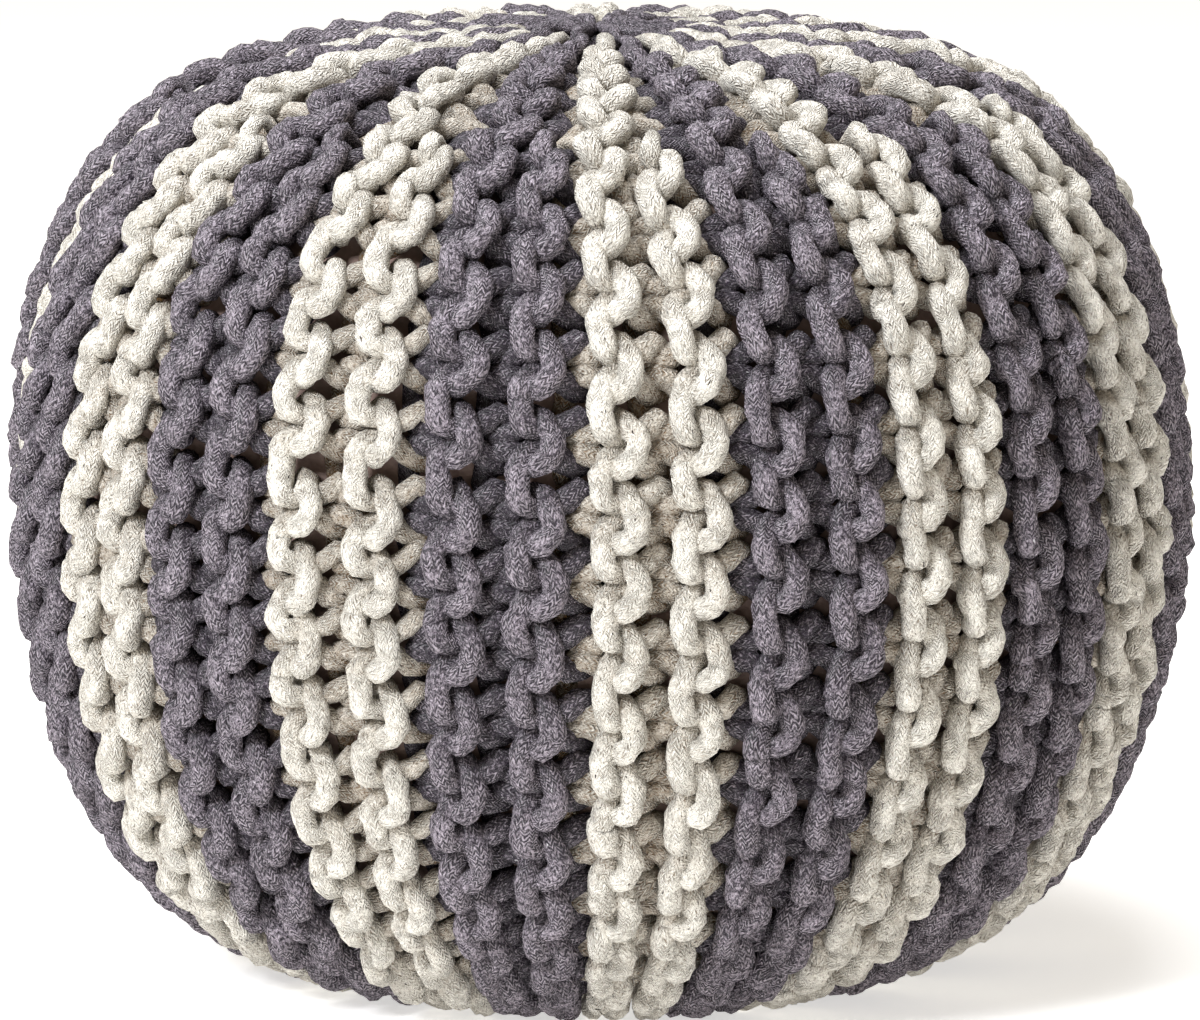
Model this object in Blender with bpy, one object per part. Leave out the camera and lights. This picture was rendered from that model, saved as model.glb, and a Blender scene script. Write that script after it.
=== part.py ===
# Round knitted floor pouf, filled, in metres, +Z up, origin under its centre on the floor.
# The cover is one striped strip of garter stitch, sewn into a tube and gathered at both
# ends. It is modelled filled: a crowned body with its sides drawn in, a ridge for each
# pair of rows, and a puckered hollow at each end that holds the gathering cord.
import math

import bmesh
import bpy
from mathutils import Vector

# --- driving dimensions ---------------------------------------------------------------
RADIUS = 0.250          # over the ridges, at the widest level
CROWN_RISE = 0.203      # widest level up to the top of the crown
BASE_DROP = 0.197       # widest level down to the flat base
BASE_CURVE_DROP = 0.2035  # depth of the lower curve before the floor flattens it
BOXINESS = 4.0          # how square the profile is: 2 is a plain ellipse
CROWN_POWER = 0.466     # how fast the crown rounds over
BASE_POWER = 0.535      # how fast the base rounds under

RIDGE_DEPTH = 0.0095    # ridge crest down to the groove beside it
FLANK_DEPTH = 0.0022    # crest down to the shoulder of a ridge
SHOULDER = 0.27         # shoulder's distance from the crest, in ridge widths
SHORT_TOP_RADIUS = 0.171  # where the short ridges run out on the crown
SHORT_BASE_RADIUS = 0.140  # and under the base
RUN_OUT = 0.020         # length over which a short ridge sinks to its groove

REST_RADIUS = 0.118     # inside this the base lies flat on the floor, with no ridges
REST_BLEND = 0.024      # width over which the ridges grow outside that flat

HOLLOW_RADIUS = 0.0265  # mouth of the hollow at each gathered end
HOLLOW_SOFTEN = 0.020   # width over which the surface turns down into the hollow
HOLLOW_SAG = 0.0050     # how far it has turned down at the mouth
HOLLOW_DEPTH = 0.0145   # crown or base to the hollow's flat floor
HOLLOW_FLOOR_RADIUS = 0.0225

CORD_RADIUS = 0.0045    # gathering cord
GATHER_RADIUS = 0.0155  # centreline of the ring that it is drawn into
SEAT_GAP = 0.0003       # cord to the hollow's floor

# Stripes, anticlockwise from above, from the one that faces front. Hand knitting is
# uneven, so each has its own share of the way round. The widths add up to 360.
STRIPE_COLUMNS = ("yarn", "width_deg")
STRIPES = (
    ("natural", 14.9), ("charcoal", 15.2), ("natural", 14.1), ("charcoal", 15.6),
    ("natural", 14.8), ("charcoal", 15.4), ("natural", 14.8), ("charcoal", 14.1),
    ("natural", 15.7), ("charcoal", 14.6), ("natural", 15.1), ("charcoal", 14.7),
    ("natural", 15.5), ("charcoal", 14.9), ("natural", 14.3), ("charcoal", 15.6),
    ("natural", 15.0), ("charcoal", 14.4), ("natural", 15.2), ("charcoal", 14.6),
    ("natural", 14.9), ("charcoal", 15.0), ("natural", 16.2), ("charcoal", 15.4),
)
FIRST_STRIPE_EDGE_DEG = -92.2  # clockwise edge of the front stripe; -90 faces front

COLUMNS_PER_RIDGE = 4
RIDGES_PER_STRIPE = 2
SIDE_STEPS = 10         # profile steps below the widest level, and above it
RING_STEPS = (36, 10)   # gathering cord: round the ring, round the cord


def makeMaterial(name, colour, roughness):
    material = bpy.data.materials.new(name)
    material.use_nodes = True
    shader = material.node_tree.nodes["Principled BSDF"]
    shader.inputs["Base Color"].default_value = (*colour, 1.0)
    shader.inputs["Roughness"].default_value = roughness
    shader.inputs["Metallic"].default_value = 0.0
    return material


def smoothStep(low, high, value):
    share = min(max((value - low) / (high - low), 0.0), 1.0)
    return share * share * (3.0 - 2.0 * share)


def crownHeight(radius):
    """Height of the crest surface above the widest level."""
    fall = 1.0 - min(radius / RADIUS, 1.0) ** BOXINESS
    mouth = 1.0 - smoothStep(HOLLOW_RADIUS, HOLLOW_RADIUS + HOLLOW_SOFTEN, radius)
    return CROWN_RISE * fall ** CROWN_POWER - HOLLOW_SAG * mouth


def baseHeight(radius):
    """Height of the lower crest surface, below the widest level, cut flat by the floor."""
    fall = 1.0 - min(radius / RADIUS, 1.0) ** BOXINESS
    return -min(BASE_CURVE_DROP * fall ** BASE_POWER, BASE_DROP)


def crestProfile():
    """(radius, height over the floor) of the crests, from the base's centre to the crown's."""
    flatEdge = RADIUS * (1.0 - (BASE_DROP / BASE_CURVE_DROP) ** (1.0 / BASE_POWER)) ** (
        1.0 / BOXINESS
    )
    points = [
        (0.0, HOLLOW_DEPTH),
        (HOLLOW_FLOOR_RADIUS, HOLLOW_DEPTH),
        (HOLLOW_RADIUS, 0.0),
        (REST_RADIUS, 0.0),
    ]
    # equal turns of this angle crowd the rings where the profile bends most
    startTurn = math.asin((flatEdge / RADIUS) ** 2)
    for step in range(SIDE_STEPS + 1):
        turn = startTurn + (math.pi / 2.0 - startTurn) * step / SIDE_STEPS
        radius = RADIUS * math.sqrt(math.sin(turn))
        points.append((radius, BASE_DROP + baseHeight(radius)))
    endTurn = math.asin((HOLLOW_RADIUS + HOLLOW_SOFTEN) ** 2 / RADIUS ** 2)
    for step in range(1, SIDE_STEPS + 1):
        turn = math.pi / 2.0 - (math.pi / 2.0 - endTurn) * step / SIDE_STEPS
        radius = RADIUS * math.sqrt(math.sin(turn))
        points.append((radius, BASE_DROP + crownHeight(radius)))
    top = BASE_DROP + CROWN_RISE
    points += [
        (HOLLOW_RADIUS, BASE_DROP + crownHeight(HOLLOW_RADIUS)),
        (HOLLOW_FLOOR_RADIUS, top - HOLLOW_DEPTH),
        (0.0, top - HOLLOW_DEPTH),
    ]
    return points


def profileNormals(points):
    normals = []
    for index in range(len(points)):
        before = points[max(index - 1, 0)]
        after = points[min(index + 1, len(points) - 1)]
        run, rise = after[0] - before[0], after[1] - before[1]
        length = math.hypot(run, rise)
        normals.append((rise / length, -run / length))
    return normals


def grooveShare(radius, height):
    """How deep the grooves are at this place: none on the flat base, full on the sides."""
    if height < BASE_DROP:
        return smoothStep(REST_RADIUS, REST_RADIUS + REST_BLEND, radius)
    return smoothStep(HOLLOW_RADIUS, 2.0 * HOLLOW_RADIUS, radius)


def shortRidgeShare(radius, height):
    """1 where a short ridge stands as high as a long one, 0 where it has run out."""
    limit = SHORT_BASE_RADIUS if height < BASE_DROP else SHORT_TOP_RADIUS
    return smoothStep(limit - RUN_OUT, limit + RUN_OUT, radius)


def columnDepth(column, shortShare):
    """Depth of one of a stripe's columns under the crest: a long ridge, then a short one."""
    twoRidges = (RIDGE_DEPTH, FLANK_DEPTH, 0.0, FLANK_DEPTH) * RIDGES_PER_STRIPE
    farFromCrest = min(abs(column - 2), abs(column - 10)) / COLUMNS_PER_RIDGE
    oneRidge = RIDGE_DEPTH * farFromCrest ** 2
    return oneRidge + (twoRidges[column] - oneRidge) * shortShare


def columnAngles():
    """Angle of every column, and the yarn of the stripe that it starts in."""
    yarn, width = STRIPE_COLUMNS.index("yarn"), STRIPE_COLUMNS.index("width_deg")
    angles, yarns = [], []
    edge = FIRST_STRIPE_EDGE_DEG
    ridgeShares = (0.0, 0.5 - SHOULDER, 0.5, 0.5 + SHOULDER)
    for row in STRIPES:
        ridgeWidth = row[width] / RIDGES_PER_STRIPE
        for ridge in range(RIDGES_PER_STRIPE):
            for share in ridgeShares:
                angles.append(math.radians(edge + (ridge + share) * ridgeWidth))
                yarns.append(row[yarn])
        edge += row[width]
    return angles, yarns


def addObject(name, shape):
    mesh = bpy.data.meshes.new(name)
    shape.to_mesh(mesh)
    shape.free()
    mesh.shade_smooth()
    thing = bpy.data.objects.new(name, mesh)
    bpy.context.scene.collection.objects.link(thing)
    return thing


def makeCover(natural, charcoal):
    """The filled cover: the crest profile spun round, then its grooves pressed in."""
    profile = crestProfile()
    normals = profileNormals(profile)
    angles, yarns = columnAngles()
    perStripe = COLUMNS_PER_RIDGE * RIDGES_PER_STRIPE
    shape = bmesh.new()
    line = [shape.verts.new((radius, 0.0, height)) for radius, height in profile]
    edges = [shape.edges.new(pair) for pair in zip(line, line[1:])]
    bmesh.ops.spin(
        shape, geom=line + edges, cent=(0.0, 0.0, 0.0), axis=(0.0, 0.0, 1.0),
        angle=2.0 * math.pi, steps=len(angles), use_merge=True,
    )
    bmesh.ops.remove_doubles(shape, verts=shape.verts, dist=0.00001)
    bmesh.ops.recalc_face_normals(shape, faces=shape.faces)

    columnStep = 2.0 * math.pi / len(angles)
    for face in shape.faces:
        middle = face.calc_center_median()
        column = int(math.atan2(middle.y, middle.x) % (2.0 * math.pi) / columnStep)
        face.material_index = 0 if yarns[column] == "natural" else 1

    for vert in shape.verts:
        radius = math.hypot(vert.co.x, vert.co.y)
        if radius < HOLLOW_FLOOR_RADIUS / 2.0:
            continue
        ring = min(
            range(len(profile)),
            key=lambda index: math.hypot(profile[index][0] - radius, profile[index][1] - vert.co.z),
        )
        column = round(math.atan2(vert.co.y, vert.co.x) / columnStep) % len(angles)
        height = vert.co.z
        depth = columnDepth(column % perStripe, shortRidgeShare(radius, height))
        depth *= grooveShare(radius, height)
        radius -= depth * normals[ring][0]
        vert.co = Vector((
            radius * math.cos(angles[column]),
            radius * math.sin(angles[column]),
            height - depth * normals[ring][1],
        ))
    cover = addObject("knitted_cover", shape)
    cover.data.materials.append(natural)
    cover.data.materials.append(charcoal)
    centreOnOrigin(cover)
    return cover


def centreOnOrigin(thing):
    """Uneven stripes leave the widest points a little off centre: the mesh is moved back."""
    for axis in (0, 1):
        values = [vert.co[axis] for vert in thing.data.vertices]
        middle = (min(values) + max(values)) / 2.0
        for vert in thing.data.vertices:
            vert.co[axis] -= middle


def makeGatherCord(name, height, charcoal):
    """A closed turn of cord that draws the row ends together, at the given height."""
    around, across = RING_STEPS
    shape = bmesh.new()
    turn = bmesh.ops.create_circle(shape, segments=across, radius=CORD_RADIUS)
    for vert in turn["verts"]:
        vert.co = Vector((GATHER_RADIUS + vert.co.x, 0.0, height + vert.co.y))
    bmesh.ops.spin(
        shape, geom=shape.verts[:] + shape.edges[:], cent=(0.0, 0.0, 0.0),
        axis=(0.0, 0.0, 1.0), angle=2.0 * math.pi, steps=around, use_merge=True,
    )
    bmesh.ops.remove_doubles(shape, verts=shape.verts, dist=0.00001)
    bmesh.ops.recalc_face_normals(shape, faces=shape.faces)
    cord = addObject(name, shape)
    cord.data.materials.append(charcoal)
    return cord


def buildPouf():
    for thing in list(bpy.data.objects):
        bpy.data.objects.remove(thing, do_unlink=True)
    natural = makeMaterial("natural cotton cord", (0.74, 0.69, 0.58), 0.92)
    charcoal = makeMaterial("charcoal cotton cord", (0.115, 0.100, 0.118), 0.94)
    makeCover(natural, charcoal)
    top = BASE_DROP + CROWN_RISE
    seat = HOLLOW_DEPTH - SEAT_GAP - CORD_RADIUS
    makeGatherCord("crown_gather_cord", top - seat, charcoal)
    makeGatherCord("base_gather_cord", seat, charcoal)


buildPouf()
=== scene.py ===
import math

import bmesh
import bpy
import numpy as np
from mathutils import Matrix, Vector
from mathutils.noise import noise as lumpNoise


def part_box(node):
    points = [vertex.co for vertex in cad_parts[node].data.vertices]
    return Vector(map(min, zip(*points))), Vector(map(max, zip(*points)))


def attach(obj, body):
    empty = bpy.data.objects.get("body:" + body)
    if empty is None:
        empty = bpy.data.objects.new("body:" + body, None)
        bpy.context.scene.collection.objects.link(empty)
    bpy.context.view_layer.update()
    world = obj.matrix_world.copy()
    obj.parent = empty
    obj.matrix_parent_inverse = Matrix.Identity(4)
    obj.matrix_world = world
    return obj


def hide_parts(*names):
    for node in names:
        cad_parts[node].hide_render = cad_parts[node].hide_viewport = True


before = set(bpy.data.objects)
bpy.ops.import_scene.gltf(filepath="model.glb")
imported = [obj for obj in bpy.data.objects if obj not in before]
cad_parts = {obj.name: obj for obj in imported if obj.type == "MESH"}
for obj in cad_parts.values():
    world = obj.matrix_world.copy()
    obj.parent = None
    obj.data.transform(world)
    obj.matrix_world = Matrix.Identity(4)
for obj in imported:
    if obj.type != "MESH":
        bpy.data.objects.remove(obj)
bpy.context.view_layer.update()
coverLow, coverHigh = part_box("knitted_cover")

rng = np.random.default_rng(48)  # hand knitting is uneven, and the same unevenness every run

# the pouf's form, from the box of the CAD cover and the same curves as its outline
pouf = {
    "radius": (coverHigh.x - coverLow.x) / 2,
    "height": coverHigh.z,
    "widestHeight": 0.197,
    "boxiness": 4.0,  # 2 would be an ellipse
    "crownPower": 0.466,
    "basePower": 0.535,
    "baseCurveDrop": 0.2035,  # the lower curve, before the floor flattens it
    "crownDip": 0.0034,  # the crown sinks this much in a ring round the gathered rim
    "dipStart": (0.030, 0.060),  # distances from the pole, in metres
    "dipEnd": (0.120, 0.190),
    # stripe widths in degrees, anticlockwise from above, from the front stripe on
    "stripeWidths": (
        14.9, 15.2, 14.1, 15.6, 14.8, 15.4, 14.8, 14.1, 15.7, 14.6, 15.1, 14.7,
        15.5, 14.9, 14.3, 15.6, 15.0, 14.4, 15.2, 14.6, 14.9, 15.0, 16.2, 15.4,
    ),
    "frontEdge": -92.2,  # the front stripe's clockwise edge; -90 faces the camera
    "curveSteps": 6001,  # the outline is worked out this finely
    "crestPoints": 761,  # and kept about 1 mm apart
    "softenPoints": 15,  # evens the normals over 15 mm, where the floor creases the base
}


def smoothStep(low, high, value):
    share = np.clip((value - low) / (high - low), 0.0, 1.0)
    return share * share * (3.0 - 2.0 * share)


def makeCrestLine():
    # the outline over the ridges, from the crown's centre to the base's
    turn = np.linspace(0.0, math.pi, pouf["curveSteps"])
    radius = pouf["radius"] * np.sin(turn) ** (2 / pouf["boxiness"])
    level = np.cos(turn) ** 2  # 1 at the poles, 0 at the widest level
    rise = pouf["height"] - pouf["widestHeight"]
    crown = pouf["widestHeight"] + rise * level ** pouf["crownPower"]
    inDip = smoothStep(*pouf["dipStart"], radius) - smoothStep(*pouf["dipEnd"], radius)
    crown -= pouf["crownDip"] * inDip
    base = pouf["widestHeight"] - pouf["baseCurveDrop"] * level ** pouf["basePower"]
    height = np.where(turn < math.pi / 2, crown, np.maximum(base, 0.0))
    length = np.r_[0.0, np.cumsum(np.hypot(np.diff(radius), np.diff(height)))]
    even = np.linspace(0.0, length[-1], pouf["crestPoints"])
    radius = np.interp(even, length, radius)
    height = np.interp(even, length, height)
    slope = np.gradient(np.c_[radius, height], even, axis=0)
    count = pouf["softenPoints"]
    padded = np.pad(slope, ((count // 2, count // 2), (0, 0)), "edge")
    slope = np.c_[[np.convolve(line, np.ones(count) / count, "valid") for line in padded.T]].T
    slope /= np.linalg.norm(slope, axis=1)[:, None]
    return {"s": even, "r": radius, "z": height, "outR": -slope[:, 1], "outZ": slope[:, 0]}


crest = makeCrestLine()


def onCrest(s, angle, depth):
    # a point at this distance along the crest line, turned to this angle, this far inside
    r, z, outR, outZ = (np.interp(s, crest["s"], crest[k]) for k in ("r", "z", "outR", "outZ"))
    r = np.maximum(r - depth * outR, 0.0)
    return np.c_[r * np.cos(angle), r * np.sin(angle), z - depth * outZ]


def rowsOf(table):
    # the rows of a table, each under the names of its columns
    return [dict(zip(table["columns"], row)) for row in table["rows"]]


def fromHex(code):
    # sRGB hex to linear
    parts = [int(code[i : i + 2], 16) / 255 for i in (1, 3, 5)]
    return (*[c / 12.92 if c <= 0.04045 else ((c + 0.055) / 1.055) ** 2.4 for c in parts], 1.0)


def addNode(tree, kind, inputs=None, **settings):
    node = tree.nodes.new(kind)
    for name, value in settings.items():
        setattr(node, name, value)
    for name, value in (inputs or {}).items():
        if isinstance(value, bpy.types.NodeSocket):
            tree.links.new(value, node.inputs[name])
        else:
            node.inputs[name].default_value = value
    return node


def startMaterial(name):
    material = bpy.data.materials.new(name)
    material.use_nodes = True
    tree = material.node_tree
    return material, tree, tree.nodes["Principled BSDF"]


cordFinish = {
    "braidColumns": 10,  # knitted columns around the cord
    "braidPitch": 0.0018,  # metres from one V to the next
    "braidSlant": 1.1,  # how steep the Vs are, in pitches
    "pitsAround": 34.0,  # in a turn round the cord
    "pitsAlong": 1.6,  # in a pitch
    "driftAlong": (240.0, 0.0022),  # swerves of the Vs in a metre, and how far they go
    "driftAround": (230.0, 0.08),  # the same round the cord, the second in turns
    "feltedPerMetre": 150.0,  # patches of 7 mm, where the Vs hardly show
    "feltedEdges": (-0.10, 0.14),  # on a noise from -0.5 to 0.5
    "feltedBraid": 0.2,  # how much of the Vs is left there
    "fibresPerMetre": 1300.0,  # finer than a pixel in life, so they are drawn this coarse
    "tuftsPerMetre": 520.0,  # 2 mm each
    "rubbedPerMetre": 70.0,  # patches of 14 mm
    "specksAlong": 260.0,  # one place for a speck in 3.8 mm of cord
    "specksAround": 15.0,
    "speckSize": 0.15,  # of that place
    "roughness": 0.92,
    "specular": 0.25,
    "sheenRoughness": 0.55,
    # how much each pattern stands up, as a share of relief, which is in metres
    "braidHeight": 0.45,
    "pitHeight": -0.7,
    # light, shade: the top of a strand and the crease beside it, the two ends of the cord's colour,
    # between which the Vs, the pits and the legs are given painted light and painted shade; base: how
    # far from one to the other the cord lies; deep: painted shade, how much darker its legs, deep in
    # the knit, are than its arcs, which stand out into the light; braid, pits, tufts, fibres, rubbed:
    # how much the Vs, with painted shade in their creases, the pits between loops, in painted shade,
    # the tufts, the fibres and the rubbed patches show; pitEdges: where a pit starts and where it is
    # darkest, on a noise from -0.5 to 0.5; speckShare: how many places hold a speck, which on the
    # charcoal cord is pale lint that also serves as a painted glint
    "natural": {
        "light": "#FFFAEE", "shade": "#7A5A2E", "base": 0.10, "deep": 0.38, "braid": 0.27,
        "pits": 0.48, "pitEdges": (-0.11, -0.20), "tufts": 0.80, "fibres": 0.40, "rubbed": 0.5,
        "relief": 0.0024, "speck": "#3A2B22", "speckShare": 0.50, "sheen": 0.10,
    },
    "charcoal": {
        "light": "#D1C4D0", "shade": "#221026", "base": 0.60, "deep": 0.32, "braid": 0.56,
        "pits": 0.80, "pitEdges": (-0.05, -0.18), "tufts": 1.85, "fibres": 1.60, "rubbed": 0.5,
        "relief": 0.0036, "speck": "#F4F1F4", "speckShare": 0.07, "sheen": 0.15,
    },
}


def makeCordMaterial(yarn):
    # cotton cord from a circular knitting machine: Vs run along it, dull, and its nap gives a
    # faint bloom where light grazes it
    finish = cordFinish[yarn]
    material, tree, shader = startMaterial(yarn + " knitted cotton cord")
    place = addNode(tree, "ShaderNodeTexCoord").outputs["Object"]

    def sums(operation, first, second=0.0, third=0.0):
        inputs = {0: first, 1: second, 2: third}
        return addNode(tree, "ShaderNodeMath", inputs, operation=operation).outputs[0]

    def noise(scale, detail, roughness=0.5, vector=place):
        inputs = {"Vector": vector, "Scale": scale, "Detail": detail, "Roughness": roughness}
        return sums("SUBTRACT", addNode(tree, "ShaderNodeTexNoise", inputs).outputs["Fac"], 0.5)

    def ramp(value, low, high):
        ends = {"Value": value, "From Min": low, "From Max": high}
        return addNode(tree, "ShaderNodeMapRange", ends).outputs["Result"]

    def pair(first, second):
        inputs = {"X": first, "Y": second}
        return addNode(tree, "ShaderNodeCombineXYZ", inputs).outputs["Vector"]

    def ownMap(name):
        spot = addNode(tree, "ShaderNodeUVMap", uv_map=name).outputs["UV"]
        return addNode(tree, "ShaderNodeSeparateXYZ", {"Vector": spot}).outputs

    # the Vs, pushed about so that no two are alike
    swerves, reach = cordFinish["driftAlong"]
    along = sums("MULTIPLY_ADD", noise(swerves, 2.0), reach, ownMap("cordUV")["X"])
    swerves, reach = cordFinish["driftAround"]
    around = sums("MULTIPLY_ADD", noise(swerves, 2.0), reach, ownMap("cordUV")["Y"])
    column = sums("FRACT", sums("MULTIPLY", around, float(cordFinish["braidColumns"])))
    offCentre = sums("MULTIPLY", sums("ABSOLUTE", sums("SUBTRACT", column, 0.5)), 2.0)
    pitches = sums("MULTIPLY", along, 1.0 / cordFinish["braidPitch"])
    phase = sums("MULTIPLY_ADD", offCentre, cordFinish["braidSlant"], pitches)
    strand = sums("SINE", sums("MULTIPLY", phase, 2 * math.pi))  # 1 on a strand, -1 between two
    crisp = ramp(noise(cordFinish["feltedPerMetre"], 1.0), *cordFinish["feltedEdges"])
    felted = cordFinish["feltedBraid"]
    braid = sums("MULTIPLY", strand, sums("MULTIPLY_ADD", crisp, 1.0 - felted, felted))

    # pits between the loops, drawn out along the strands, with painted shade in them
    pitSpot = pair(
        sums("MULTIPLY", phase, cordFinish["pitsAlong"]),
        sums("MULTIPLY", around, cordFinish["pitsAround"]),
    )
    pits = ramp(noise(1.0, 1.0, vector=pitSpot), *finish["pitEdges"])

    fibres = noise(cordFinish["fibresPerMetre"], 2.0, 0.65)
    tufts = noise(cordFinish["tuftsPerMetre"], 2.0)
    rubbed = noise(cordFinish["rubbedPerMetre"], 3.0)
    # painted shade: the legs, which rise least out of the knit, get the most shade, and the creases
    # of the Vs and the pits are darkened too; the tufts, fibres and rubbed patches are the yarn's own
    # uneven tone
    shadeShare = sums(
        "MULTIPLY_ADD", ownMap("cordRise")["X"], -finish["deep"], finish["base"] + finish["deep"]
    )
    for pattern, weight in (
        (braid, -finish["braid"]), (pits, finish["pits"]), (fibres, finish["fibres"]),
        (tufts, finish["tufts"]), (rubbed, finish["rubbed"]),
    ):
        shadeShare = sums("MULTIPLY_ADD", pattern, weight, shadeShare)
    colour = addNode(
        tree, "ShaderNodeMix",
        {"Factor": shadeShare, "A": fromHex(finish["light"]), "B": fromHex(finish["shade"])},
        data_type="RGBA",
    ).outputs["Result"]

    # seed specks on the natural cord, and on the charcoal cord pale lint that also serves as painted
    # glints: a few cells of a pattern that is stretched along the cord hold one
    stretched = pair(
        sums("MULTIPLY", along, cordFinish["specksAlong"]),
        sums("MULTIPLY", around, cordFinish["specksAround"]),
    )
    cells = addNode(tree, "ShaderNodeTexVoronoi", {"Vector": stretched, "Scale": 1.0})
    near = sums("LESS_THAN", cells.outputs["Distance"], cordFinish["speckSize"])
    chance = addNode(tree, "ShaderNodeSeparateColor", {"Color": cells.outputs["Color"]})
    chosen = sums("LESS_THAN", chance.outputs["Red"], finish["speckShare"])
    depth = sums("MULTIPLY", sums("MULTIPLY", near, chosen), chance.outputs["Green"])
    colour = addNode(
        tree, "ShaderNodeMix",
        {"Factor": depth, "A": colour, "B": fromHex(finish["speck"])}, data_type="RGBA",
    ).outputs["Result"]

    height = sums("ADD", fibres, sums("MULTIPLY", braid, cordFinish["braidHeight"]))
    height = sums("MULTIPLY_ADD", pits, cordFinish["pitHeight"], sums("ADD", height, tufts))
    bump = addNode(
        tree, "ShaderNodeBump",
        {"Height": height, "Strength": 1.0, "Distance": finish["relief"]},
    ).outputs["Normal"]
    tree.links.new(colour, shader.inputs["Base Color"])
    tree.links.new(bump, shader.inputs["Normal"])
    shader.inputs["Roughness"].default_value = cordFinish["roughness"]
    shader.inputs["Specular IOR Level"].default_value = cordFinish["specular"]
    shader.inputs["Sheen Weight"].default_value = finish["sheen"]
    shader.inputs["Sheen Roughness"].default_value = cordFinish["sheenRoughness"]
    return material


naturalCord = makeCordMaterial("natural")
charcoalCord = makeCordMaterial("charcoal")


shadowFinish = {
    "light": "#A08A80",
    "dark": "#6A5954",
    "atPole": "#3B343B",  # as dark as the charcoal rows that meet there
    "poleFade": (0.035, 0.060),  # metres from the pole
    "loopsPerMetre": 300.0,  # of the knit's back
    "relief": 0.001,
    "reliefStrength": 0.6,
    "specular": 0.1,
}


def makeShadowMaterial():
    # the back of the knit, deep in the gaps: matt cotton, so it takes no highlight
    material, tree, shader = startMaterial("shaded cotton behind the stitches")
    place = addNode(tree, "ShaderNodeTexCoord").outputs["Object"]
    loops = {"Vector": place, "Scale": shadowFinish["loopsPerMetre"], "Detail": 3.0}
    grain = addNode(tree, "ShaderNodeTexNoise", loops).outputs["Fac"]
    flat = addNode(tree, "ShaderNodeVectorMath", {0: place, 1: (1.0, 1.0, 0.0)}, operation="MULTIPLY")
    fromPole = addNode(tree, "ShaderNodeVectorMath", {0: flat.outputs["Vector"]}, operation="LENGTH")
    near, far = shadowFinish["poleFade"]
    ends = {"Value": fromPole.outputs["Value"], "From Min": near, "From Max": far}
    away = addNode(tree, "ShaderNodeMapRange", ends).outputs["Result"]
    light, dark = fromHex(shadowFinish["light"]), fromHex(shadowFinish["dark"])
    colour = addNode(
        tree, "ShaderNodeMix", {"Factor": grain, "A": light, "B": dark}, data_type="RGBA"
    ).outputs["Result"]
    colour = addNode(
        tree, "ShaderNodeMix",
        {"Factor": away, "A": fromHex(shadowFinish["atPole"]), "B": colour}, data_type="RGBA",
    ).outputs["Result"]
    bump = addNode(
        tree, "ShaderNodeBump",
        {
            "Height": grain,
            "Strength": shadowFinish["reliefStrength"],
            "Distance": shadowFinish["relief"],
        },
    ).outputs["Normal"]
    tree.links.new(colour, shader.inputs["Base Color"])
    tree.links.new(bump, shader.inputs["Normal"])
    shader.inputs["Roughness"].default_value = 1.0
    shader.inputs["Specular IOR Level"].default_value = shadowFinish["specular"]
    return material


shadowCotton = makeShadowMaterial()
print("materials made")

# the knitting, in metres; s and along are distances along the crest line from the crown's centre
knit = {
    "cordRadius": 0.0052,
    "legThickness": 0.98,  # of the cord's own, where the loops' legs squeeze past each other
    "sides": 3,  # bevel resolution of the cord, which gives 10 sides
    "rowRise": 0.0084,  # middle of the knit to the middle of a ridge's cord
    "firstWale": 0.0312,  # along the crest line, where the first round of stitches starts
    "pitch": 0.02987,  # from one stitch to the next, pole to pole
    "cordStart": 3.1,  # each row's cord starts its pattern this much further on than the last
    "wales": 23,  # stitches in a long row
    "rows": 4,  # in a stripe, two to a ridge
    "shortRow": 2,  # this row and the next make the short ridge
    "shortFrom": 5,  # the short rows have these stitches only
    "shortTo": 20,
    "crownMerge": (0.150, 0.215),  # where two ridges a stripe become one at the crown
    "baseMerge": (0.600, 0.665),
    "gatherReach": 0.011,  # charcoal row ends are drawn this much nearer the poles
    "crownRelief": 0.84,  # the ridges flatten to this share at the crown, where they are drawn tight
    "crownFlat": (0.03, 0.14),  # and stand up again between these
    "easyRowWidth": 0.0098,  # rows closer than this squeeze the cord thinner
    "tightestRow": 0.42,  # of that width, the least that counts
    "squeezePower": 0.8,
    # rounds of stitches rise and fall: how far, in how many waves, how much each wave turns from
    # round to round and spreads with its order, and how fast the finer waves fade
    "waleDrift": {"size": 0.0011, "waves": 6, "turn": 0.9, "spread": 0.37, "fade": 0.3},
    # ridges wander, in degrees: how far, the share that all sway together, how many waves round
    # the pouf come on top, each one's share, and how many half turns it makes from pole to pole
    "ridgeDrift": {"size": 0.6, "together": 0.75, "waves": 5, "apart": 0.35, "turns": 2.2},
    "looseStripe": 22,  # this one was knitted slacker, so that more dark shows through it
    "looseLegs": 0.86,  # its cord is pulled this much thinner
    "looseArcs": 0.97,
    # each stitch's own unevenness, and each bend's
    "stitchSlips": {"size": 0.035, "wide": 0.035, "shift": 0.022, "lean": 0.035, "out": 0.05},
    "smallSlips": {"along": 0.010, "across": 0.016, "out": 0.045, "thick": 0.035},
    # the cord's surface is uneven as well: (depth, waves in a metre)
    "lumps": ((0.0010, 130.0), (0.0008, 370.0)),
}

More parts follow.
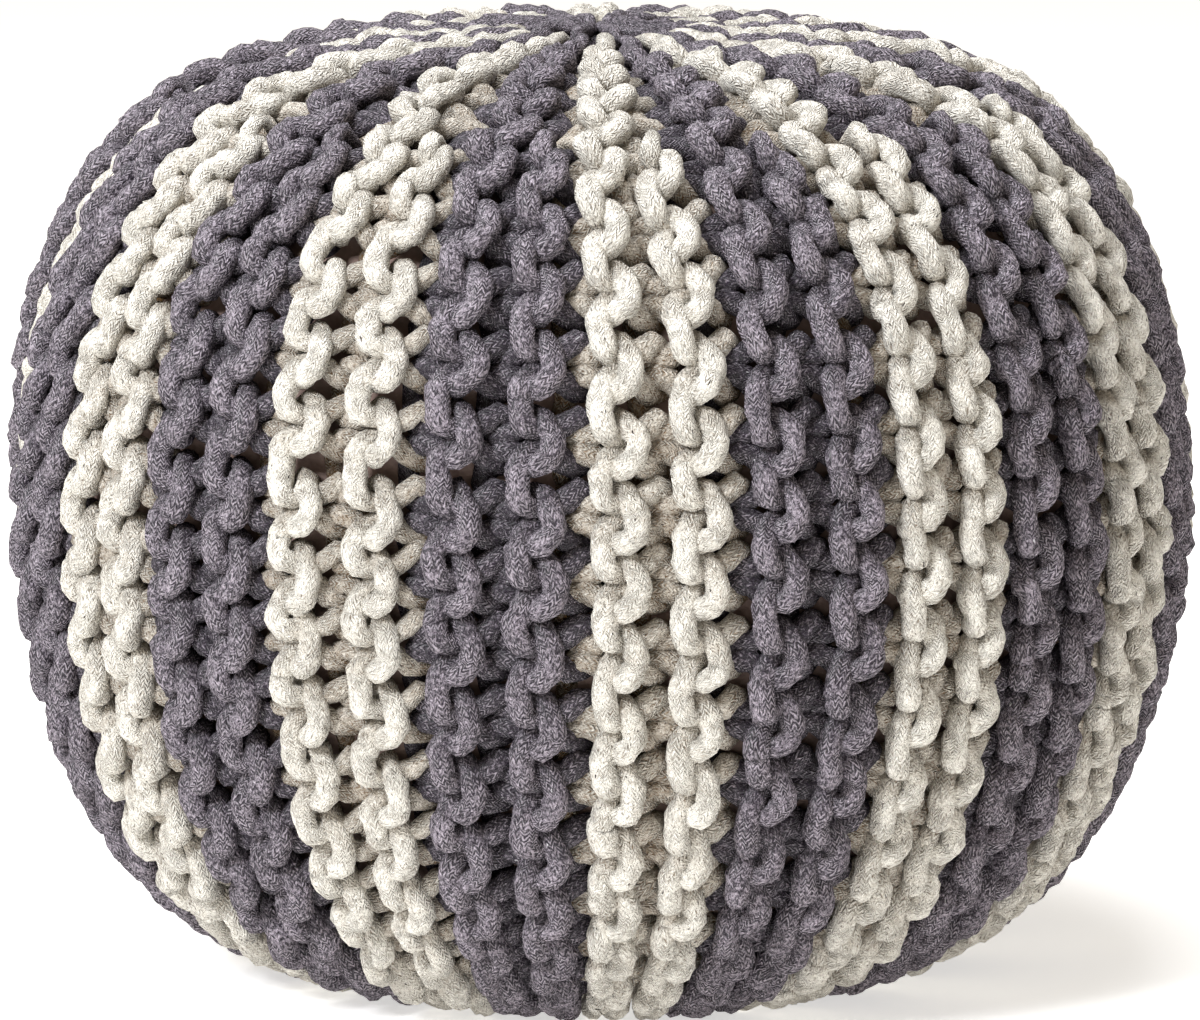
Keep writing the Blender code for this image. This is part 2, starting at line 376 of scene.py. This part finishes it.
# One stitch of garter knit, from the middle of the loop at its foot, round its head, to where
# the next foot starts. Its head is at the front; the next row's stitch is the same, back to
# front. Each arc comes up from under its neighbour at its upper end and lies over the next one
# at its lower end. along is in stitches, across in rows and out in rowRise.
stitch = {
    "columns": ("along", "across", "out"),
    "rows": (
        (-0.50, -0.42, -1.00),
        (-0.32, -0.39, -1.12),
        (-0.17, -0.32, -1.02),
        (-0.125, -0.03, -0.40),
        (-0.14, 0.40, -0.04),
        (-0.23, 0.70, -0.20),
        (-0.36, 0.97, -0.05),
        (-0.31, 1.14, 0.32),
        (-0.18, 1.30, 0.74),
        (-0.02, 1.41, 0.97),
        (0.12, 1.41, 1.07),
        (0.24, 1.32, 1.13),
        (0.335, 1.12, 1.06),
        (0.355, 0.90, 0.48),
        (0.28, 0.67, -0.06),
        (0.17, 0.42, -0.10),
        (0.12, 0.12, -0.12),
        (0.155, -0.14, -0.34),
        (0.28, -0.32, -0.70),
        (0.40, -0.40, -0.92),
    ),
    "head": 9,  # the row nearest the middle of the head
    "frontOut": 0.5,  # nearer the front than this the cord has twice as many points
}

# How rows go on past their last stitch: on in metres, out in rowRise, and the share of the cord's
# thickness. Ends at the back and short rows turn down out of sight. Those in front run further
# in, the natural ones drawn thin and the charcoal ones over the gathering cord.
rowEnds = {
    "down": {
        "on": (0.004, 0.009, 0.011),
        "out": (-0.8, -1.9, -3.2),
        "share": (1.0, 1.0, 1.0),
    },
    "thin": {
        "on": (0.005, 0.010, 0.016, 0.020),
        "out": (0.85, 0.75, 0.45, -1.2),
        "share": (0.95, 0.85, 0.80, 0.66),
    },
    "over": {
        "on": (0.004, 0.008, 0.0115, 0.014),
        "out": (1.0, 0.95, 0.55, -0.9),
        "share": (1.2, 1.2, 1.1, 0.8),
    },
}

# Where ridges lean aside on their way down, as hand-sewn strips do: degrees round, metres along,
# the lean in degrees, and how far it reaches in degrees round and metres along.
ridgeLeans = {
    "columns": ("round", "along", "lean", "roundReach", "alongReach"),
    "rows": (
        (-138.0, 0.180, 2.6, 11.0, 0.045),
        (-121.0, 0.170, 2.6, 9.0, 0.042),
        (-104.0, 0.150, 3.0, 8.0, 0.028),
        (-84.0, 0.205, -1.7, 9.0, 0.040),
        (-62.0, 0.180, -2.2, 10.0, 0.042),
        (-46.0, 0.155, -2.4, 9.0, 0.030),
        (-106.0, 0.500, -0.8, 9.0, 0.060),
        (-172.0, 0.480, -4.0, 8.0, 0.130),
        (-193.0, 0.225, 7.0, 21.0, 0.115),
        (-215.0, 0.225, 5.0, 35.0, 0.115),
        (2.0, 0.120, 3.0, 8.0, 0.120),
    ),
}

# Stripes that are squeezed under their neighbours for a stretch: how deep, and where along they
# sink and rise again.
sunkStripes = {
    "columns": ("stripe", "depth", "sinks", "rises"),
    "rows": (
        (16, 0.0040, (0.070, 0.110), (0.180, 0.240)),
        (18, 0.0062, (0.090, 0.150), (0.550, 0.620)),
    ),
}


def stripeEdges():
    widths = np.radians(pouf["stripeWidths"])
    start = math.radians(pouf["frontEdge"])
    return start + np.r_[0.0, np.cumsum(widths)[:-1]], widths


edges, widths = stripeEdges()
longRidges = edges + widths / knit["rows"]
ridgeWobble = rng.uniform(0, 2 * math.pi, (knit["ridgeDrift"]["waves"], 2))
waleWobble = rng.uniform(0, 2 * math.pi, knit["waleDrift"]["waves"])


def rowLines(stripe, row, s):
    # the angles of the two lines that a row lies between: even lines are grooves, odd ones ridges
    count = len(edges)
    ridge = longRidges[stripe]
    before = longRidges[stripe - 1] - (2 * math.pi if stripe == 0 else 0.0)
    after = longRidges[(stripe + 1) % count] + (2 * math.pi if stripe == count - 1 else 0.0)
    spread = edges[stripe] + widths[stripe] * np.arange(knit["rows"] + 1) / knit["rows"]
    gathered = np.array([(before + ridge) / 2, ridge] + [(ridge + after) / 2] * 3)
    crownSide = 1.0 - smoothStep(*knit["crownMerge"], s)
    merge = np.maximum(crownSide, smoothStep(*knit["baseMerge"], s))
    return [spread[k] + (gathered[k] - spread[k]) * merge for k in (row, row + 1)]


def ridgeShift(s, angle):
    # ridges wander a little sideways down the side, neighbours together
    drift = knit["ridgeDrift"]
    share = (s - knit["firstWale"]) / (knit["pitch"] * knit["wales"])
    bow = np.sin(math.pi * np.clip(share, 0, 1)) ** 2
    shift = drift["together"] * bow * np.cos(angle + math.pi / 2)
    for order, (first, second) in enumerate(ridgeWobble, start=1):
        wave = np.sin(drift["turns"] * math.pi * share + second)
        shift += drift["apart"] * np.sin(order * angle + first) * wave
    shift *= drift["size"]
    for row in rowsOf(ridgeLeans):
        aside = (np.degrees(angle) - row["round"] + 180.0) % 360.0 - 180.0
        away = (aside / row["roundReach"]) ** 2 + ((s - row["along"]) / row["alongReach"]) ** 2
        shift += row["lean"] * np.exp(-away)
    return np.radians(shift)


def waleShift(wale, angle):
    # each round of stitches rises and falls a little on its way round
    drift = knit["waleDrift"]
    shift = 0.0
    for k, start in enumerate(waleWobble):
        turned = start + drift["turn"] * wale * (1 + drift["spread"] * k)
        shift = shift + np.sin((k + 1) * angle + turned) / (1 + drift["fade"] * k)
    return drift["size"] * shift


def stitchControls(row, firstStitch, lastStitch, halfStart):
    # the control points of one row, as (stitches along, rows across, out)
    shape = np.array(stitch["rows"])
    face = 1.0 if row % 2 == 0 else -1.0
    whole, small = knit["stitchSlips"], knit["smallSlips"]
    points = []
    for wale in range(firstStitch, lastStitch):
        own = shape[stitch["head"] :] if wale == firstStitch and halfStart else shape
        own = own + rng.normal(0.0, 1.0, own.shape) * [small[k] for k in stitch["columns"]]
        size, wide, shift, lean, out = rng.normal(0.0, 1.0, len(whole)) * list(whole.values())
        own[:, 0] = own[:, 0] * (1.0 + size) + shift + lean * (own[:, 1] - 0.5) + wale + 0.5
        own[:, 1] = 0.5 + (own[:, 1] - 0.5) * (1.0 + wide)
        own[:, 2] = own[:, 2] * (1.0 + out) * face
        points.append(own)
    last = shape[0] * (1.0, 1.0, face) + (lastStitch + 0.5, 0.0, 0.0)  # closes the last stitch
    return np.vstack(points + [last])


def smoothPath(points, samples):
    # a Catmull-Rom curve through the control points, with that many steps after each
    before, after = points[0] * 2 - points[1], points[-1] * 2 - points[-2]
    padded = np.vstack([before, points, after])
    path = []
    for index in range(len(points) - 1):
        a, b, c, d = padded[index : index + 4]
        for t in np.arange(samples[index]) / samples[index]:
            path.append(
                0.5 * (2 * b + (c - a) * t + (2 * a - 5 * b + 4 * c - d) * t**2
                       + (3 * b - 3 * c + d - a) * t**3)
            )
    path.append(points[-1])
    return np.array(path)


def rowPath(stripe, row):
    # one row of the cover as points in space, with the cord's thickness and rise at each
    short = row >= knit["shortRow"]
    natural = stripe % 2 == 0
    firstStitch = knit["shortFrom"] if short else 0
    lastStitch = knit["shortTo"] if short else knit["wales"]
    controls = stitchControls(row, firstStitch, lastStitch, natural and not short)
    wale, across, out = controls.T
    thick = knit["legThickness"] + (1.0 - knit["legThickness"]) * np.clip(out, 0.0, 1.0)
    thick *= 1.0 + rng.normal(0.0, knit["smallSlips"]["thick"], len(thick))
    if stripe == knit["looseStripe"]:
        thick *= np.where(out < stitch["frontOut"], knit["looseLegs"], knit["looseArcs"])
    samples = np.where(np.maximum(out, np.r_[out[1:], 0.0]) > stitch["frontOut"], 2, 1)
    s = knit["firstWale"] + knit["pitch"] * wale
    raised = smoothStep(*knit["crownFlat"], s)
    out = out * (knit["crownRelief"] + (1.0 - knit["crownRelief"]) * raised)
    if not natural:
        ends = smoothStep(1.0, 0.0, wale) - smoothStep(knit["wales"] - 1.0, knit["wales"], wale)
        s = s - knit["gatherReach"] * ends
    near, far = rowLines(stripe, row, s)
    angle = near + (far - near) * across
    s = s + waleShift(np.floor(wale), angle)
    angle = angle + ridgeShift(s, angle)
    rowWidth = np.abs(far - near) * np.interp(s, crest["s"], crest["r"])
    room = np.clip(rowWidth / knit["easyRowWidth"], knit["tightestRow"], 1.0)
    thick = thick * room ** knit["squeezePower"]

    path = np.c_[s, angle, out, thick]
    ends = []
    for last, sign in ((0, -1), (-1, 1)):
        inFront = path[last, 2] > 0.0 and not short
        way = rowEnds["down" if not inFront else "thin" if natural else "over"]
        end = np.repeat(path[[last]], len(way["on"]), axis=0)
        end[:, 0] += sign * np.array(way["on"])
        end[:, 2] = way["out"]
        end[:, 3] *= way["share"]
        ends.append(end)
    before, after = ends
    samples = np.r_[[1] * len(before), samples, [1] * len(after)]
    path = smoothPath(np.vstack([before[::-1], path, after]), samples)
    s, angle, out, thick = path.T
    middle = knit["rowRise"] + knit["cordRadius"]  # the knit's middle lies this far inside
    radii = thick * knit["cordRadius"]
    # a thinner stretch lies higher, so that its top is level with the rest
    depth = middle - out * knit["rowRise"] - (knit["cordRadius"] - radii)
    for sunk in rowsOf(sunkStripes):
        if stripe == sunk["stripe"]:
            depth += sunk["depth"] * (smoothStep(*sunk["sinks"], s) - smoothStep(*sunk["rises"], s))
    points = onCrest(s, angle, depth)
    points[:, 2] = np.maximum(points[:, 2], radii)  # the floor flattens the base
    return points, radii, out


def cordMesh(name, points, radii, rises, start=0.0):
    # a round cord along the points, with two maps of its own: metres along (from start on, so
    # that no two cords show the same Vs) and turns around, and how far out of the knit it rises,
    # which the cord's material turns into painted shade on the legs
    curve = bpy.data.curves.new(name, "CURVE")
    curve.dimensions = "3D"
    curve.bevel_depth = 1.0
    curve.bevel_resolution = knit["sides"]
    curve.use_fill_caps = True
    spline = curve.splines.new("POLY")
    spline.points.add(len(points) - 1)
    spline.points.foreach_set("co", np.c_[points, np.ones(len(points))].ravel())
    spline.points.foreach_set("radius", radii)
    holder = bpy.data.objects.new(name, curve)
    bpy.context.scene.collection.objects.link(holder)
    depsgraph = bpy.context.evaluated_depsgraph_get()
    mesh = bpy.data.meshes.new_from_object(holder.evaluated_get(depsgraph))
    bpy.data.objects.remove(holder)
    bpy.data.curves.remove(curve)
    around = mesh.uv_layers[0]
    around.name = "cordUV"
    spots = np.empty(len(around.data) * 2)
    around.data.foreach_get("uv", spots)
    spots = spots.reshape(-1, 2)
    length = np.r_[0.0, np.cumsum(np.linalg.norm(np.diff(points, axis=0), axis=1))]
    place = spots[:, 0] * (len(points) - 1)
    rise = mesh.uv_layers.new(name="cordRise")
    risen = np.c_[np.interp(place, np.arange(len(points)), rises), np.zeros(len(place))]
    rise.data.foreach_set("uv", risen.ravel())
    spots[:, 0] = start + np.interp(place, np.arange(len(points)), length)
    mesh.uv_layers["cordUV"].data.foreach_set("uv", spots.ravel())
    return mesh


def roughen(shape):
    # pushes the surface in and out a little, and never under the floor
    shape.normal_update()
    for vert in shape.verts:
        push = sum(depth * lumpNoise(vert.co * waves) for depth, waves in knit["lumps"])
        vert.co += vert.normal * push
        vert.co.z = max(vert.co.z, 0.0)


def joinMeshes(name, meshes, material):
    shape = bmesh.new()
    for mesh in meshes:
        shape.from_mesh(mesh)
        bpy.data.meshes.remove(mesh)
    bmesh.ops.remove_doubles(shape, verts=shape.verts, dist=1e-7)
    bmesh.ops.recalc_face_normals(shape, faces=shape.faces)
    roughen(shape)
    joined = bpy.data.meshes.new(name)
    shape.to_mesh(joined)
    shape.free()
    joined.shade_smooth()
    joined.materials.append(material)
    piece = bpy.data.objects.new(name, joined)
    bpy.context.scene.collection.objects.link(piece)
    return piece


def makeStripes():
    pieces = []
    for stripe in range(len(edges)):
        yarn = "natural" if stripe % 2 == 0 else "charcoal"
        meshes = []
        for row in range(knit["rows"]):
            start = knit["cordStart"] * (knit["rows"] * stripe + row)
            meshes.append(cordMesh(f"row_{stripe}_{row}", *rowPath(stripe, row), start=start))
        material = naturalCord if yarn == "natural" else charcoalCord
        piece = joinMeshes(f"{yarn}_stripe_{stripe + 1:02d}", meshes, material)
        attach(piece, "root")
        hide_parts("knitted_cover")
        pieces.append(piece)
    return pieces


stripes = makeStripes()
print("knitted stripes made:", sum(len(piece.data.polygons) for piece in stripes), "faces")

# the filled body behind the stitches, which closes the gaps between them
filling = {
    "depth": 0.0200,  # under the crest line
    "steps": 96,
    "every": 12,  # of the crest line's points, one in this many
    "hollowFloor": 0.0145,  # under the poles
    "hollowRadius": 0.0225,
    "rimGap": 0.004,  # the body's outline starts this far outside the hollow
}


def makeFilling():
    shape = bmesh.new()
    inside = onCrest(crest["s"][:: filling["every"]], 0.0, filling["depth"])
    keep = inside[inside[:, 0] > filling["hollowRadius"] + filling["rimGap"]]
    top, bottom = pouf["height"] - filling["hollowFloor"], filling["hollowFloor"]
    rim = filling["hollowRadius"]
    line = [(0.0, top), (rim, top), *[(x, z) for x, _, z in keep], (rim, bottom), (0.0, bottom)]
    verts = [shape.verts.new((x, 0.0, z)) for x, z in line]
    lines = [shape.edges.new(pair) for pair in zip(verts, verts[1:])]
    bmesh.ops.spin(
        shape, geom=verts + lines, cent=(0, 0, 0), axis=(0, 0, 1),
        angle=2 * math.pi, steps=filling["steps"], use_merge=True,
    )
    bmesh.ops.remove_doubles(shape, verts=shape.verts, dist=1e-5)
    bmesh.ops.recalc_face_normals(shape, faces=shape.faces)
    mesh = bpy.data.meshes.new("filled_body")
    shape.to_mesh(mesh)
    shape.free()
    mesh.shade_smooth()
    mesh.materials.append(shadowCotton)
    piece = bpy.data.objects.new("filled_body", mesh)
    bpy.context.scene.collection.objects.link(piece)
    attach(piece, "root")
    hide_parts("knitted_cover")
    return piece


makeFilling()
print("filled body made")

# the cords threaded through the row ends at both poles and drawn tight
gather = {
    "radius": 0.0155,
    "cord": 0.0044,  # drawn tight, and thinner for it
    "sink": 0.0006,  # so it lies this much nearer the hollow's floor
    "turns": 1.06,
    "stepsPerTurn": 48,
    "wobble": 0.0006,
    "waves": 5,
    "overlap": 0.06,  # of a turn, where the ends pass each other
    "aside": 0.002,  # and the later one lies this much further out
    "tuck": 0.010,  # each end is pushed this far down beside the ring
}


def makeGather(node):
    low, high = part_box(node)
    level = (low.z + high.z) / 2
    inward = -1.0 if level > pouf["height"] / 2 else 1.0
    level += inward * gather["sink"]
    steps = int(gather["turns"] * gather["stepsPerTurn"])
    turn = np.linspace(0.0, gather["turns"] * 2 * math.pi, steps)
    wobble = gather["wobble"] * np.sin(gather["waves"] * turn + 1.0)
    shared = 2 * math.pi * gather["overlap"]
    overlap = smoothStep(2 * math.pi - shared, turn[-1], turn) - smoothStep(shared, 0.0, turn)
    radius = gather["radius"] + wobble + gather["aside"] * overlap
    height = level + 0.5 * wobble
    points = np.c_[radius * np.cos(turn), radius * np.sin(turn), height]
    for end in (0, -1):
        tail = points[end] + np.array((0.0, 0.0, inward * gather["tuck"]))
        points = np.vstack([tail, points]) if end == 0 else np.vstack([points, tail])
    radii = np.full(len(points), gather["cord"])
    mesh = cordMesh(node + "_turn", points, radii, np.zeros(len(points)))
    piece = joinMeshes(node + "_drawn", [mesh], charcoalCord)
    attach(piece, "root")
    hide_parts(node)
    return piece


makeGather("crown_gather_cord")
makeGather("base_gather_cord")
print("gathering cords made")

# a pale studio with soft light from the upper left, as in the photo
studio = {
    "floorRadius": 6.0,
    "floorColour": "#F1F0EE",
    "floorRoughness": 0.9,
    "floorGlow": 0.66,  # a lit white table, so that the floor stays pale behind the pouf
    "worldColour": "#FFEFD8",  # the shade is warmer than the lit side
    "worldStrength": 0.31,
    "lampColour": "#F7FAFF",
}

# square lamps, all aimed at the middle of the pouf
softBoxes = {
    "columns": ("name", "place", "watts", "width"),
    "rows": (
        ("key from the upper left", (-1.9, -2.4, 2.2), 151.0, 0.9),
        ("fill from the right", (2.6, -2.2, 1.0), 2.0, 1.8),
        ("top", (-0.3, 0.0, 2.8), 90.0, 1.8),
    ),
}

# where the photo was taken from
view = {
    "elevation": 9.78,  # degrees above level
    "distance": 3.75,
    "focalPixels": 8893.0,  # with the picture 1200 pixels wide
    "pictureWidth": 1200.0,
    "aimAcross": 0.0010,  # from the pouf's widest level, in metres, to the picture's middle
    "aimUp": -0.0058,
    "sensorWidth": 36.0,  # mm
    "clipEnd": 50.0,
}


def makeFloor():
    shape = bmesh.new()
    bmesh.ops.create_circle(shape, cap_ends=True, segments=96, radius=studio["floorRadius"])
    mesh = bpy.data.meshes.new("floor")
    shape.to_mesh(mesh)
    shape.free()
    material, tree, shader = startMaterial("pale studio floor")
    shader.inputs["Base Color"].default_value = fromHex(studio["floorColour"])
    shader.inputs["Roughness"].default_value = studio["floorRoughness"]
    shader.inputs["Emission Color"].default_value = fromHex(studio["floorColour"])
    shader.inputs["Emission Strength"].default_value = studio["floorGlow"]
    mesh.materials.append(material)
    floor = bpy.data.objects.new("floor", mesh)
    bpy.context.scene.collection.objects.link(floor)


def aim(thing, target):
    direction = Vector(target) - thing.location
    thing.rotation_euler = direction.to_track_quat("-Z", "Y").to_euler()


def makeLights():
    world = bpy.data.worlds.new("pale room")
    world.use_nodes = True
    back = world.node_tree.nodes["Background"]
    back.inputs["Color"].default_value = fromHex(studio["worldColour"])
    back.inputs["Strength"].default_value = studio["worldStrength"]
    bpy.context.scene.world = world
    for box in rowsOf(softBoxes):
        light = bpy.data.lights.new(box["name"], "AREA")
        light.color = fromHex(studio["lampColour"])[:3]
        light.energy = box["watts"]
        light.size = box["width"]
        lamp = bpy.data.objects.new(box["name"], light)
        lamp.location = box["place"]
        aim(lamp, (0.0, 0.0, pouf["widestHeight"]))
        bpy.context.scene.collection.objects.link(lamp)


def makeCamera():
    tilt = math.radians(view["elevation"])
    up = Vector((0.0, math.sin(tilt), math.cos(tilt)))
    target = Vector((view["aimAcross"], 0.0, pouf["widestHeight"])) + up * view["aimUp"]
    lens = bpy.data.cameras.new("camera")
    lens.sensor_width = view["sensorWidth"]
    lens.lens = view["focalPixels"] / view["pictureWidth"] * lens.sensor_width
    lens.clip_end = view["clipEnd"]
    camera = bpy.data.objects.new("camera", lens)
    camera.location = target + Vector((0.0, -math.cos(tilt), math.sin(tilt))) * view["distance"]
    aim(camera, target)
    bpy.context.scene.collection.objects.link(camera)
    bpy.context.scene.camera = camera


makeFloor()
makeLights()
makeCamera()
bpy.context.scene.view_settings.view_transform = "Standard"
print("studio made")
